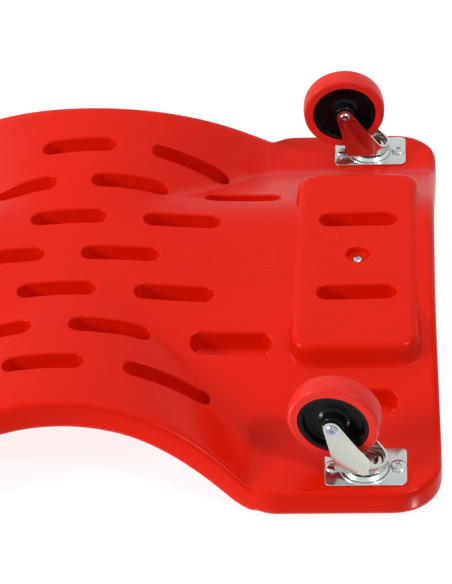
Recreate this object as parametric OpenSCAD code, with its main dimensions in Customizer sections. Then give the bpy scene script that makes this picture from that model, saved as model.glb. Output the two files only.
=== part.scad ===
// Mechanic's creeper: a moulded deck with a padded headrest, low on six swivel casters.
// It stands on its wheels: +X runs to the head end, +Y to the left, +Z up, origin on the floor
// below the middle of the deck. All lengths are in millimetres, all angles in degrees.

/* [Deck] */
// Length of the deck
deck_len = 1016; // [1000:2:1100]
// Width of the deck across the caster lands
deck_w = 480; // [460:2:520]
// Thickness of the double-walled moulding
deck_t = 25; // [24:0.5:30]
// Radius of the rounded rim
rim_r = 8; // [5:0.5:9]
// Radius of the four corners in plan
corner_r = 35; // [20:1:38]
// How far each arm cut-out reaches into the deck
cutout_deep = 38; // [20:1:45]
// Length of the flat land at each end of the deck
end_land = 152; // [140:1:170]
// Length of the flat land in the middle of the deck; the cut-outs lie between it and the end lands
mid_land = 92; // [88:1:120]
// How much nearer the ends the cut-outs lie in plan than the dips of the rim do
cutout_shift = 15; // [0:1:20]
// How far the rim dips below the caster lands at the waist
rim_drop = 65.7; // [50:0.1:70]
// How far the belly lies below the lands, between the casters
belly_drop = 47; // [40:0.5:52]
// How much further the belly sinks at the waist
waist_sink = 9; // [0:0.5:12]
// Half width of the flat belly
belly_half = 71; // [50:1:85]
// Width of the caster lands, from the deck's side
land_w = 58; // [55:1:65]
// Rise of the rim's inner slope for each millimetre across, at the ends of the dips
rim_lean = 0.22; // [0.1:0.01:0.25]

/* [Slots] */
// Length of the stiffening slots
slot_len = 65; // [50:1:75]
// Width of the stiffening slots
slot_w = 18; // [12:0.5:22]
// Thickness left above the floor of each slot
slot_floor = 8; // [7:0.5:14]
// Width of the sloped lip round each slot
slot_lip = 0.8; // [0.5:0.1:2.5]
// Distance between slots along a row
slot_pitch = 98.5; // [95:0.5:104]
// Distance of the outer rows from the deck's side
row_inset = 93; // [84:1:100]
// Distance of the even rows' first slots from the head end
slot_start = 171; // [165:1:180]

/* [Tool trays] */
// Length of each tray
tray_len = 84; // [60:1:90]
// Width of each tray
tray_w = 36; // [24:1:40]
// Depth of each tray
tray_depth = 13; // [8:0.5:14]
// Corner radius of each tray
tray_r = 10; // [4:0.5:11]

/* [Headrest] */
// Length of the flat seat under the headrest, along the deck
seat_len = 88; // [84:1:90]
// Distance of the seat under the headrest from the deck's sides
seat_side = 130; // [128:1:140]
// Step from the belly down to the seat
seat_step = 0.5; // [0.5:0.5:5]
// Distance of the seat's middle from the end of the deck
seat_inset = 69; // [66:1:74]
// Thickness of the headrest's base board
board_t = 6; // [4:0.5:9]
// How much longer than the flat seat the cushion is, along the deck
cushion_long = 8; // [2:0.5:10]
// How much wider than the flat seat the cushion is
cushion_over = 4; // [0:0.5:6]
// Height of the cushion's edge
cushion_edge = 22; // [16:0.5:30]
// Height of the cushion's crown above its edge
cushion_crown = 10; // [4:0.5:16]
// How far the cushion's sides draw in between its corners
cushion_draw = 3; // [1:0.5:4]

/* [Casters] */
// Diameter of the wheels
wheel_d = 74; // [70:1:76]
// Width of the wheels across the tyre
tyre_w = 19; // [16:0.5:20]
// Diameter of the hub under the tyre
hub_d = 56.9; // [50:0.1:60]
// Drop from the caster land to the axle
axle_drop = 51.6; // [50:0.1:56]
// Trail of the axle behind the swivel
trail = 22.8; // [20:0.1:24]
// Distance of the swivels from the deck's sides
swivel_side = 30; // [29:0.5:31]
// Distance of the end swivels from the ends of the deck
swivel_inset = 60; // [56:1:66]
// Length of the mounting plate
plate_len = 65; // [62:0.5:68]
// Width of the mounting plate
plate_w = 42; // [39:0.5:42]
// Thickness of the mounting plate
plate_t = 2; // [1.6:0.1:2.4]
// Corner radius of the mounting plate
plate_r = 5.5; // [3:0.5:8]
// Distance between the two screws of a plate
plate_screw_gap = 51.6; // [51:0.1:53]
// Width over the fork's two legs
fork_w = 29; // [28:0.5:31]
// Thickness of the fork's sheet
fork_t = 2; // [1.6:0.1:2.2]
// Diameter of the balls in the race
ball_d = 5; // [4.6:0.1:5.2]
// Number of balls in each race
ball_count = 12; // [8:1:12]
// Radius of the circle on which the balls run
race_r = 11; // [10.5:0.1:11.5]

/* [Hidden] */
// Overrun of every cut past the face that it opens
cut = 1;
// Segments of round solids, segments and angles between the points of the shapes laid in facets
$fn = 72;
lay_fn = 32;
rim_turn_step = 30;
seat_turn_step = 20;

// Running clearance of shafts in holes, and gap of parts that lie together
run_gap = 0.05;
seat_gap = 0.1;

// Deck: heights, and the arcs of the cut-outs in plan and of the dips along the rim
land_z = axle_drop + wheel_d / 2;
half_len = deck_len / 2;
half_w = deck_w / 2;
land_inner = half_w - land_w;
cutout_len = half_len - end_land - mid_land / 2;
dip_half = cutout_len / 2;
dip_x = half_len - end_land - dip_half;
cutout_x = dip_x + cutout_shift;
dip_r = (dip_half * dip_half + rim_drop * rim_drop) / (2 * rim_drop);
cutout_r = (dip_half * dip_half + cutout_deep * cutout_deep) / (2 * cutout_deep);
trough_slope = belly_drop / (land_inner - belly_half);
// How far inside a dip the trough's sides begin to flatten out, and over what length they do
slope_hold = 50;
slope_fade = dip_half - slope_hold;
// Lengths over which the rim begins to lean and leans less again, and by what share it does
lean_start = 20;
lean_end = 110;
lean_less = 0.75;
// Width of the soft crease at the land and at the belly, as heights of the two blends
land_soft = 2.8;
belly_soft = 9;

// Stations along the dips, as shares of their length, and round the corners and the end rims
dip_shares = [0, 0.025, 0.06, 0.1, 0.14, 0.18, 0.22, 0.26, 0.3, 0.36, 0.43, 0.5,
    0.57, 0.64, 0.7, 0.74, 0.78, 0.82, 0.86, 0.9, 0.94, 0.975, 1];
corner_turns = [28, 52, 74];
rim_turns = [30, 60];
// Columns across the deck, as shares of the flat belly and of the trough's side
belly_shares = [0, 0.9, 1.12];
side_shares = [0.2, 0.33, 0.46, 0.58, 0.7, 0.82, 0.94];
// Number of the outer row of slots, counted from the middle row
outer_row = 3;

// Headrest seat: the bulge below the deck and the recess above it
seat_x = half_len - seat_inset;
seat_w = deck_w - 2 * seat_side;
seat_corner = 6;
seat_round = 7;
seat_side_turn = 80;
seat_fall = seat_step + deck_t - cut;
seat_z = land_z - belly_drop - seat_step;
seat_top_z = seat_z + deck_t;
slot_depth = deck_t - slot_floor;
tray_y = (land_inner + half_w - rim_r) / 2;
cup_d = 19.5;
cup_depth = 5.5;
cup_lip = 1;

// Headrest: base board, cushion, screw from below
board_inset = 3;
cushion_z = seat_top_z + board_t;
cushion_len = seat_len + cushion_long;
cushion_w = seat_w + cushion_over;
cushion_point_count = 56;
cushion_square_share = 0.34;
cushion_turn = 60;
cushion_crown_shares = [0.08, 0.2, 0.38, 0.6, 0.82];
screw_shank_r = 2.4;
screw_head_r = 4.2;
screw_head_t = 2.6;
screw_bite = 4;

// Casters: every _h is a height below the land
race_h = 6;
groove_r = ball_d / 2 + seat_gap;
dome_h = 5.2;
dome_r = 19;
dome_top_r = 16;
fork_h = 6.9;
bead_r = groove_r + fork_t * 0.9;
pin_r = 4.95;
pin_hollow_r = 2.6;
pin_head_r = 6.5;
pin_head_t = 1.4;
pin_tail_r = 6.8;
pin_tail_t = 1.1;
fork_front = 18;
fork_back = 21.7;
lip_h = 12.5;
leg_tip_r = 7;
leg_gap = fork_w - 2 * fork_t;
// Sweep of the fork's front edge, from the lip to the leg: radius, and place of its middle
sweep_r = 14;
sweep_t = 19.1;
sweep_shares = [0, 0.2, 0.4, 0.6, 0.8, 1];
tip_shares = [0, 0.1, 0.2, 0.3, 0.4, 0.5, 0.6, 0.7, 0.8, 0.9, 1];
plate_screw_r = 2.2;
plate_screw_head_r = 5.8;
plate_screw_head_t = 2.4;
plate_screw_bite = 9;
axle_r = 3;
axle_head_r = 4.4;
axle_head_t = 1.8;
axle_dimple_r = 1.6;
axle_dimple_t = 1.2;
bush_r = 5;
boss_r = 9;
boss_gap = 0.7;
hub_face = 18.2;
hub_rim_t = 3.6;
hub_web_t = 6;
hub_key_w = 6;
hub_key_t = 1.5;
tyre_round = 3;
tyre_crown = 0.5;

// Places and rest angles of the casters, in the order of the names
caster_names = ["head_left", "head_right", "mid_left", "mid_right", "foot_left", "foot_right"];
caster_end_shares = [1, 1, 0, 0, -1, -1];
caster_side_shares = [1, -1, 1, -1, 1, -1];
caster_turns = [9.2, -3.8, -5, 7, 4, -8];
caster_ids = [0 : len(caster_names) - 1];
end_swivel_x = half_len - swivel_inset;
swivel_y = half_w - swivel_side;

// Smooth step from 0 to 1, and the soft joins of two heights and of a line with zero
function ease(u) = u <= 0 ? 0 : u >= 1 ? 1 : (1 - cos(180 * u)) / 2;
function soft_max(a, b, soft) =
    let (gap = abs(a - b)) max(a, b) + (gap < soft ? pow(soft - gap, 2) / (4 * soft) : 0);
function soft_ramp(u, soft) = u <= -soft ? 0 : u >= soft ? u : pow(u + soft, 2) / (4 * soft);

// Distance inside a dip of the rim, from its nearer end
function in_dip(x) = dip_half - abs(abs(x) - dip_x);
// How far the rim lies below the lands at x
function dip(x) =
    in_dip(x) <= 0 ? 0 : rim_drop - dip_r + sqrt(pow(dip_r, 2) - pow(dip_half - in_dip(x), 2));
// Half width of the deck at x: cut-outs and rounded corners
function half_width(x) =
    let (u = abs(abs(x) - cutout_x), e = half_len - abs(x))
    u < dip_half ? half_w - cutout_deep + cutout_r - sqrt(pow(cutout_r, 2) - u * u)
    : e < corner_r ? half_w - corner_r + sqrt(pow(corner_r, 2) - pow(corner_r - e, 2))
    : half_w;
// How far the underside lies below the lands at x, y
function drop(x, y) =
    let (u = in_dip(x),
        slope = trough_slope * (1 - ease((u - slope_hold) / slope_fade)),
        lean = rim_lean * ease(u / lean_start) * (1 - lean_less * ease(u / lean_end)),
        trough = belly_drop + waist_sink * ease(u / dip_half)
            - slope * soft_ramp(abs(y) - belly_half, belly_soft),
        rim = dip(x) - lean * (half_width(x) - abs(y)))
    soft_max(trough, rim, land_soft);
function under_z(x, y) = land_z - drop(x, y);
// Slopes of the underside at x, y, as angles
function turn_x(x, y) = atan((under_z(x + cut, y) - under_z(x - cut, y)) / (2 * cut));
function turn_y(x, y) = atan((under_z(x, y + cut) - under_z(x, y - cut)) / (2 * cut));

// Stations along the deck, from the foot end to the head end
end_stations = concat(
    [for (a = corner_turns) if (corner_r * (1 - sin(a)) > rim_r) half_len - corner_r * (1 - sin(a))],
    [for (a = rim_turns) half_len - rim_r * (1 - sin(90 - a))],
    [half_len]);
half_stations = concat(
    [for (s = dip_shares) dip_x - dip_half + s * cutout_len],
    end_stations);
stations = concat(
    [for (i = [len(half_stations) - 1 : -1 : 0]) -half_stations[i]],
    [0],
    half_stations);
// Columns across the deck, from the middle out
half_columns = concat(
    [for (s = belly_shares) s * belly_half],
    [for (s = side_shares) belly_half + s * (land_inner - belly_half)],
    [land_inner, land_inner + land_soft / trough_slope]);
columns = concat(
    [for (i = [len(half_columns) - 1 : -1 : 1]) -half_columns[i]],
    half_columns);

// Ring of points round the deck at x, from the underside's right edge to the left and back
end_lift_max = 0.96;
function end_lift(x) =
    let (e = half_len - abs(x))
    e >= rim_r ? 0 : min(end_lift_max * rim_r, rim_r - sqrt(pow(rim_r, 2) - pow(rim_r - e, 2)));
function ring(x) =
    let (lift = end_lift(x), r = rim_r - lift, edge = half_width(x) - r,
        squeeze = min(1, (edge - cut) / columns[len(columns) - 1]),
        across = concat([-edge], [for (y = columns) y * squeeze], [edge]),
        low = [for (y = across) [x, y, under_z(x, y) + lift]],
        low_edge = under_z(x, edge) + lift,
        high_edge = low_edge + deck_t - 2 * lift,
        curve = [for (a = [rim_turn_step : rim_turn_step : 90]) [r * sin(a), r * (1 - cos(a))]],
        rim = concat(
            [for (p = curve) [p[0], low_edge + p[1]]],
            [for (i = [len(curve) - 1 : -1 : 0]) [curve[i][0], high_edge - curve[i][1]]]))
    concat(
        low,
        [for (p = rim) [x, edge + p[0], p[1]]],
        [for (i = [len(low) - 1 : -1 : 0]) low[i] + [0, 0, deck_t - 2 * lift]],
        [for (i = [len(rim) - 1 : -1 : 0]) [x, -edge - rim[i][0], rim[i][1]]]);

// Moulded body of the deck, before its slots, seat and trays are formed
module deck_body() {
    rings = [for (x = stations) ring(x)];
    n = len(rings[0]);
    last = len(rings) - 1;
    m = len(columns) + 2;
    side = 2 * 90 / rim_turn_step;
    points = [for (r = rings) each r];
    skin = [for (i = [0 : last - 1], j = [0 : n - 1])
        let (a = i * n + j, b = i * n + (j + 1) % n)
        each [[a, a + n, b + n], [a, b + n, b]]];
    // Each end is closed by strips between the underside and the top, and a fan at each rim
    function top_of(j) = 2 * m + side - 1 - j;
    foot = concat(
        [for (j = [0 : m - 2]) each [[j, j + 1, top_of(j + 1)], [j, top_of(j + 1), top_of(j)]]],
        [for (k = [0 : side]) [m - 1, m + k, k == side ? m - 1 : m + k + 1]],
        [for (k = [0 : side - 1]) [0, top_of(0) + k, top_of(0) + k + 1]]);
    head = [for (f = foot) [f[2] + last * n, f[1] + last * n, f[0] + last * n]];
    whole = [for (f = concat(foot, head)) if (f[0] != f[1] && f[1] != f[2] && f[2] != f[0]) f];
    polyhedron(points = points, faces = concat(whole, skin), convexity = 8);
}

// Bar with round ends along X, centred on its own axis, standing on z = 0; its flat sides lie
// a hair inside its ends
module stadium(long, wide, high) {
    reach = (long - wide) / 2;
    translate([-reach, run_gap - wide / 2, 0]) cube([2 * reach, wide - 2 * run_gap, high]);
    for (side = [-1, 1]) translate([side * reach, 0, 0]) cylinder(d = wide, h = high);
}

// Flared mouth of a slot, widest where it meets the underside at z = 0
module slot_mouth() {
    reach = (slot_len - slot_w) / 2;
    wide = slot_w / 2 + slot_lip + cut;
    narrow = slot_w / 2 - cut;
    for (side = [-1, 1])
        translate([side * reach, 0, -cut]) cylinder(r1 = wide, r2 = narrow, h = wide - narrow);
    top = slot_lip + cut;
    rotate([90, 0, 90]) translate([0, 0, -reach]) linear_extrude(2 * reach) polygon([
        [run_gap - wide, -cut], [wide - run_gap, -cut], [narrow - run_gap, top], [run_gap - narrow, top]]);
}

// Depth of the slot at x, y: less where the skin bends down towards the slot's corners
function depth_at(x, y) = slot_depth
    + min([for (u = [-slot_len / 2, slot_len / 2], v = [-slot_w / 2, slot_w / 2]) min(0,
        under_z(x + u, y + v) - under_z(x, y) - u * tan(turn_x(x, y)) - v * tan(turn_y(x, y)))]);

// One slot, cut up into the deck square to the floor, its own floor parallel to the skin
module slot(x, y) {
    tilt = [turn_y(x, y), -turn_x(x, y), 0];
    block = 3 * slot_depth;
    translate([x, y, under_z(x, y)]) {
        rotate(tilt) slot_mouth();
        intersection() {
            translate([0, 0, -slot_depth]) stadium(slot_len, slot_w, block);
            translate([0, 0, depth_at(x, y)]) rotate(tilt)
                translate([-slot_len, -slot_len, -block]) cube([2 * slot_len, 2 * slot_len, block]);
        }
    }
}

// Rows of slots, alike towards both ends: the odd rows are set half a pitch off the even ones,
// and there is none where the skin bends too sharply
module slots() {
    row_pitch = (half_w - row_inset) / outer_row;
    even_x = half_len - slot_start;
    odd_x = even_x - slot_pitch / 2;
    even_last = floor((even_x - slot_len / 2 - slot_w / 4) / slot_pitch);
    odd_last = floor((odd_x - slot_len - slot_w / 2) / slot_pitch);
    places = concat(
        [for (row = [-2, 0, 2], n = [row == 0 ? 1 : 0 : even_last], side = [-1, 1])
            [side * (even_x - n * slot_pitch), row * row_pitch]],
        [for (row = [-outer_row, -1, 1, outer_row], n = [0 : odd_last], side = [-1, 1])
            [side * (odd_x - n * slot_pitch), row * row_pitch]],
        [for (row = [-outer_row, -1, 1, outer_row]) [0, row * row_pitch]],
        [for (row = [-outer_row, outer_row], side = [-1, 1]) [side * seat_x, row * row_pitch]]);
    for (p = places) if (depth_at(p[0], p[1]) > slot_depth / 3) slot(p[0], p[1]);
    for (row = [-1, 1]) {
        slot(-seat_x, row * row_pitch);
        translate([seat_x, row * row_pitch, seat_z]) {
            slot_mouth();
            translate([0, 0, -cut]) stadium(slot_len, slot_w, slot_depth + cut);
        }
    }
}

// Block with sloped, rounded sides that forms the headrest's seat, narrowest at z = 0
module seat_block() {
    fall = seat_fall - seat_round * (1 - cos(seat_side_turn));
    grow = seat_round * sin(seat_side_turn) + fall / tan(seat_side_turn);
    steps = concat(
        [for (a = [0 : seat_turn_step : seat_side_turn]) [seat_round * sin(a), seat_round * (1 - cos(a))]],
        [[grow, seat_fall]]);
    hull() for (s = steps, i = [-1, 1], j = [-1, 1])
        translate([i * (seat_len / 2 - seat_corner), j * (seat_w / 2 - seat_corner), s[1]])
            cylinder(r = seat_corner + s[0], h = run_gap, $fn = lay_fn);
}

// Round cup below the headrest, in which the head of its screw lies, and the screw's hole
module screw_cup() {
    translate([seat_x, 0, seat_z]) {
        translate([0, 0, -cut])
            cylinder(r1 = cup_d / 2 + cup_lip + cut, r2 = cup_d / 2 - cut, h = cup_lip + 2 * cut);
        translate([0, 0, -cut]) cylinder(d = cup_d, h = cup_depth + cut);
        cylinder(r = screw_shank_r + run_gap, h = deck_t + cut);
    }
}

// Round-cornered block standing on z = 0
module round_block(long, wide, high, corner) {
    translate([-long / 2, corner - wide / 2, 0]) cube([long, wide - 2 * corner, high]);
    translate([corner - long / 2, -wide / 2, 0]) cube([long - 2 * corner, wide, high]);
    for (i = [-1, 1], j = [-1, 1])
        translate([i * (long / 2 - corner), j * (wide / 2 - corner), 0]) cylinder(r = corner, h = high);
}

// Tool trays, sunk in the tops of the middle lands
module trays() {
    for (side = [-1, 1]) translate([0, side * tray_y, land_z + deck_t - tray_depth])
        round_block(tray_len, tray_w, tray_depth + cut, tray_r);
}

// Moulded deck: double-walled in the real one, closed all round
module deck() {
    color("crimson") difference() {
        union() {
            deck_body();
            translate([seat_x, 0, seat_z]) seat_block();
        }
        translate([seat_x, 0, seat_top_z]) seat_block();
        screw_cup();
        slots();
        trays();
        for (i = caster_ids) at_caster(i) translate([0, 0, -cut])
            plate_screw_places() cylinder(r = plate_screw_r + run_gap, h = plate_screw_bite + cut);
    }
}

// Stiff board under the cushion, lying on the seat
module headrest_board() {
    color("dimgray") translate([seat_x, 0, seat_top_z]) difference() {
        round_block(seat_len - 2 * board_inset, seat_w - 2 * board_inset, board_t,
            seat_corner - board_inset);
        translate([0, 0, -cut]) cylinder(r = screw_shank_r + run_gap, h = board_t);
    }
}

// Outline of the cushion at one level, drawn in between its corners
function cushion_ring(inset, z) =
    let (hx = cushion_len / 2 - inset, hy = cushion_w / 2 - inset)
    [for (k = [0 : cushion_point_count - 1])
        let (a = 360 * (k + 0.5) / cushion_point_count, c = cos(a), s = sin(a),
            u = sign(c) * pow(abs(c), cushion_square_share),
            v = sign(s) * pow(abs(s), cushion_square_share))
        [hx * u - cushion_draw * u * (1 - v * v), hy * v - cushion_draw * v * (1 - u * u), z]];

// Padded headrest: flat below, rounded at its edge, crowned above
module headrest_cushion() {
    edge_r = cushion_edge / 2;
    side = [for (a = [-cushion_turn : cushion_turn / 3 : cushion_turn])
        [edge_r * (1 - cos(a)), edge_r * (sin(a) + sin(cushion_turn))]];
    edge = side[len(side) - 1];
    crown_reach = cushion_len / 2 - edge[0];
    crown = [for (s = cushion_crown_shares) [edge[0] + s * crown_reach,
        edge[1] + cushion_crown * sin(90 * s)]];
    rings = [for (r = concat(side, crown)) cushion_ring(r[0], r[1])];
    n = cushion_point_count;
    last = len(rings) - 1;
    points = concat([for (r = rings) each r], [[0, 0, 0], [0, 0, edge[1] + cushion_crown]]);
    skin = [for (i = [0 : last - 1], j = [0 : n - 1])
        let (a = i * n + j, b = i * n + (j + 1) % n) each [[a, b + n, b], [a, a + n, b + n]]];
    ends = [for (j = [0 : n - 1]) let (b = (j + 1) % n)
        each [[j, b, (last + 1) * n], [last * n + b, last * n + j, (last + 1) * n + 1]]];
    color("black") translate([seat_x, 0, cushion_z])
        polyhedron(points = points, faces = concat(skin, ends), convexity = 4);
}

// Screw with a domed head at z = 0, its shank rising from it
module dome_screw(head_r, head_t, shank_r, bite) {
    ball_r = (head_r * head_r + head_t * head_t) / (2 * head_t);
    rotate_extrude() polygon(concat(
        [[0, bite], [0, -head_t]],
        [for (a = [10 : 10 : 80]) let (t = a / 90 * asin(head_r / ball_r))
            [ball_r * sin(t), ball_r - head_t - ball_r * cos(t)]],
        [[head_r, 0], [shank_r, 0], [shank_r, bite - shank_r], [shank_r / 3, bite]]));
}

// Screw that holds the headrest, put in from below through the cup
module headrest_screw() {
    color("silver") translate([seat_x, 0, seat_z + cup_depth])
        dome_screw(screw_head_r, screw_head_t, screw_shank_r, seat_top_z - seat_z - cup_depth + screw_bite);
}

// Frame of caster i, seen from its land: z = 0 on the land and pointing down, -X along the trail
module at_caster(i) {
    translate([caster_x(i), caster_y(i), land_z]) children();
}
module below_caster(i, turned = true) {
    at_caster(i) rotate([0, 0, turned ? caster_turns[i] : 0]) mirror([0, 0, 1]) children();
}
function caster_x(i) = caster_end_shares[i] * end_swivel_x;
function caster_y(i) = caster_side_shares[i] * swivel_y;

// Places of the two screws of a plate
module plate_screw_places() {
    for (end = [-1, 1]) translate([end * plate_screw_gap / 2, 0, 0]) children();
}

// Screws of all the plates
module plate_screws() {
    color("silver") for (i = caster_ids) at_caster(i) translate([0, 0, -plate_t])
        plate_screw_places()
            dome_screw(plate_screw_head_r, plate_screw_head_t, plate_screw_r,
                plate_t + plate_screw_bite - plate_screw_r);
}

// Mounting plate with its pressed race dome
module plate(i) {
    color("gainsboro") below_caster(i, false) difference() {
        union() {
            round_block(plate_len, plate_w, plate_t, plate_r);
            cylinder(r = dome_r, h = plate_t);
            translate([0, 0, plate_t]) cylinder(r1 = dome_r, r2 = dome_top_r, h = dome_h - plate_t);
        }
        translate([0, 0, race_h]) rotate_extrude() translate([race_r, 0]) circle(groove_r);
        translate([0, 0, -cut]) cylinder(r = pin_r + run_gap, h = dome_h + 2 * cut);
        translate([0, 0, -cut]) cylinder(r = pin_tail_r + run_gap, h = pin_tail_t + seat_gap + cut);
        translate([0, 0, -cut]) plate_screw_places()
            cylinder(r = plate_screw_r + seat_gap, h = plate_t + 2 * cut);
    }
}

// Balls between the dome and the fork
module race_balls(i) {
    color("silver") below_caster(i) translate([0, 0, race_h])
        for (k = [0 : ball_count - 1]) rotate([0, 0, 360 * k / ball_count])
            translate([race_r, 0, 0]) sphere(d = ball_d);
}

// Hollow rivet on which the fork swivels, spread in the plate and headed in the fork
module kingpin(i) {
    head_h = fork_h + fork_t + seat_gap;
    color("silver") below_caster(i) rotate_extrude() polygon([
        [pin_hollow_r, 0], [pin_tail_r, 0], [pin_tail_r, pin_tail_t], [pin_r, pin_tail_t],
        [pin_r, head_h], [pin_head_r, head_h], [pin_head_r, head_h + pin_head_t / 2],
        [pin_head_r - pin_head_t / 2, head_h + pin_head_t],
        [pin_hollow_r + pin_head_t / 2, head_h + pin_head_t],
        [pin_hollow_r, head_h + pin_head_t / 2]]);
}

// Plan of the fork: a channel with a round front, open behind
module fork_plan(inset, back) {
    r = fork_w / 2 - inset;
    translate([fork_front - fork_w / 2, 0]) circle(r);
    translate([-back, -r]) square([back + fork_front - fork_w / 2, 2 * r]);
}

// Side of the fork: a leg with a round tip at the axle, sweeping down to the low lip in front
module fork_side() {
    sweep_h = lip_h + sweep_r;
    apart = [trail + sweep_t, axle_drop - sweep_h];
    lean = atan2(apart[1], apart[0]) + asin((leg_tip_r + sweep_r) / norm(apart));
    back = [trail - fork_back, axle_drop - fork_h - fork_t];
    back_lean = atan2(back[1], back[0]) - asin(leg_tip_r / norm(back));
    sweep = [for (s = sweep_shares) let (a = s * lean - 90)
        [sweep_t - sweep_r * cos(a), sweep_h + sweep_r * sin(a)]];
    tip = [for (s = tip_shares) let (a = lean + 90 - s * (lean - back_lean + 180))
        [-trail - leg_tip_r * cos(a), axle_drop + leg_tip_r * sin(a)]];
    polygon(concat(
        [[sweep_t, fork_h - cut]], sweep, tip,
        [[-fork_back, fork_h + fork_t], [-fork_back, fork_h - cut]]));
}

// Pressed swivel fork: cup over the balls, wall round its front, legs to the axle
module fork(i) {
    color("silver") below_caster(i) difference() {
        union() {
            translate([0, 0, fork_h]) linear_extrude(fork_t) intersection() {
                fork_plan(0, fork_back);
                circle(dome_r);
            }
            intersection() {
                translate([0, 0, fork_h]) linear_extrude(axle_drop) difference() {
                    fork_plan(0, fork_back + leg_tip_r + fork_back);
                    fork_plan(fork_t, 3 * fork_back);
                }
                rotate([90, 0, 0]) linear_extrude(2 * fork_w, center = true) fork_side();
            }
            rotate_extrude() intersection() {
                translate([race_r, race_h]) circle(bead_r);
                translate([0, fork_h]) square([fork_w, fork_w]);
            }
        }
        translate([0, 0, race_h]) rotate_extrude() translate([race_r, 0]) circle(groove_r);
        cylinder(r = pin_r + run_gap, h = axle_drop / 2);
        translate([-trail, 0, axle_drop]) rotate([90, 0, 0])
            cylinder(r = axle_r + run_gap, h = 2 * fork_w, center = true);
    }
}

// Frame of the wheel on caster i: its axle along Z
module at_axle(i) {
    below_caster(i) translate([-trail, 0, axle_drop]) rotate([90, 0, 0]) children();
}

// Axle rivet, headed outside both legs, with a dimple in each head
module axle(i) {
    seat = fork_w / 2 + seat_gap;
    end = seat + axle_head_t;
    bevel = axle_head_t / 3;
    half = [[axle_r, seat], [axle_head_r, seat], [axle_head_r, end - bevel], [axle_head_r - bevel, end],
        [axle_dimple_r, end], [axle_dimple_r, end - axle_dimple_t], [0, end - axle_dimple_t]];
    color("silver") at_axle(i) rotate_extrude() polygon(both_halves(half));
}

// Outline of a turned piece from its upper half, listed from the outside in
function both_halves(half) =
    concat([for (k = [len(half) - 1 : -1 : 0]) [half[k][0], -half[k][1]]], half);

// Steel bush on the axle, clamped between the legs, on which the hub runs
module bush(i) {
    color("silver") at_axle(i) difference() {
        cylinder(r = bush_r, h = leg_gap - 2 * seat_gap, center = true);
        cylinder(r = axle_r + run_gap, h = leg_gap + cut, center = true);
    }
}

// Moulded hub: boss, dished web, raised rim, and a key that holds the tyre
module hub(i) {
    boss_end = leg_gap / 2 - boss_gap;
    rim_in = hub_d / 2 - hub_rim_t;
    bevel = boss_gap;
    half = [[hub_d / 2 + hub_key_t, hub_key_w / 2], [hub_d / 2, hub_key_w / 2],
        [hub_d / 2, hub_face / 2 - bevel], [hub_d / 2 - bevel, hub_face / 2],
        [rim_in + bevel, hub_face / 2], [rim_in, hub_face / 2 - bevel],
        [rim_in - 2 * bevel, hub_web_t / 2 + bevel], [rim_in - 4 * bevel, hub_web_t / 2],
        [boss_r + 5 * bevel, hub_web_t / 2], [boss_r + 2 * bevel, hub_web_t / 2 + 2 * bevel],
        [boss_r, boss_end - bevel], [boss_r - bevel, boss_end], [bush_r + run_gap, boss_end]];
    color("#161616") at_axle(i) rotate_extrude() polygon(both_halves(half));
}

// Tyre cast round the hub, with rounded shoulders and a slight crown
module tyre(i) {
    inner = hub_d / 2 + run_gap;
    shoulder = [for (a = [0 : 15 : 90]) [wheel_d / 2 - tyre_crown - tyre_round * (1 - cos(a)),
        tyre_w / 2 - tyre_round * (1 - sin(a))]];
    half = concat([[wheel_d / 2, 0]], shoulder, [[inner, tyre_w / 2], [inner, hub_key_w / 2 + run_gap],
        [inner + hub_key_t, hub_key_w / 2 + run_gap]]);
    color("firebrick") at_axle(i) rotate_extrude()
        polygon(concat([for (k = [len(half) - 1 : -1 : 1]) [half[k][0], -half[k][1]]], half));
}

deck();
headrest_board();
headrest_cushion();
headrest_screw();
plate_screws();
for (i = caster_ids) {
    plate(i);
    race_balls(i);
    kingpin(i);
    fork(i);
    axle(i);
    bush(i);
    hub(i);
    tyre(i);
}
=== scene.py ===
"""A mechanic's creeper: a contoured moulded deck, a padded headrest and swivel casters.

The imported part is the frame. Everything is in metres: +X runs to the headrest, +Y to the left of
a person lying on the deck, +Z up. The creeper stands on its wheels, and the camera looks at its
underside from the head end, as if it lay upside down on a table.
"""

import logging
import math
from collections.abc import Callable, Iterator
from contextlib import contextmanager
from dataclasses import dataclass, replace
from enum import Enum

import bpy
import numpy as np
from bpy.types import ID, Material, Node, NodeSocket, NodeTree, Object, World
from mathutils import Matrix, Vector


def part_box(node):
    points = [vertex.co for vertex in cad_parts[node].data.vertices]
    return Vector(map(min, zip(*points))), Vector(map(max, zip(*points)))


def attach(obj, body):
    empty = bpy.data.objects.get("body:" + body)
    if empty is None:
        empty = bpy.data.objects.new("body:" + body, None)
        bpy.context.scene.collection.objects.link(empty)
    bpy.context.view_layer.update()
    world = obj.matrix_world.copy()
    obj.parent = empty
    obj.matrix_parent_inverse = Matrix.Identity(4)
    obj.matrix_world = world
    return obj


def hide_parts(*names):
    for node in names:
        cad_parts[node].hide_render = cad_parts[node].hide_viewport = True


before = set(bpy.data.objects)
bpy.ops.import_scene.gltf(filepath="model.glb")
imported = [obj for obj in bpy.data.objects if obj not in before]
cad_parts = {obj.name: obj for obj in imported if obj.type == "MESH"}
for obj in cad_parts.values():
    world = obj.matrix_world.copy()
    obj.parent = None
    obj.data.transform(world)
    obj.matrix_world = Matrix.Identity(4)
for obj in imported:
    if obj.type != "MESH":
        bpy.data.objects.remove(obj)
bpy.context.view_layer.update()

LOG = logging.getLogger("creeper")
MM = 0.001
ROOT = "creeper"
Colour = tuple[float, float, float]
Place = tuple[float, float, float]
Zones = tuple[tuple[float, float], ...]


class Side(Enum):
    """The deck's underside, which the photograph shows, and its top, with the sign of their z."""

    UNDER = -1
    TOP = 1


# Work on meshes

def take(piece: Object) -> None:
    """Select one piece alone and make it active.

    Args:
        piece: the object that the next operators are to act on.
    """
    bpy.ops.object.select_all(action="DESELECT")
    piece.select_set(True)
    bpy.context.view_layer.objects.active = piece


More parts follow.
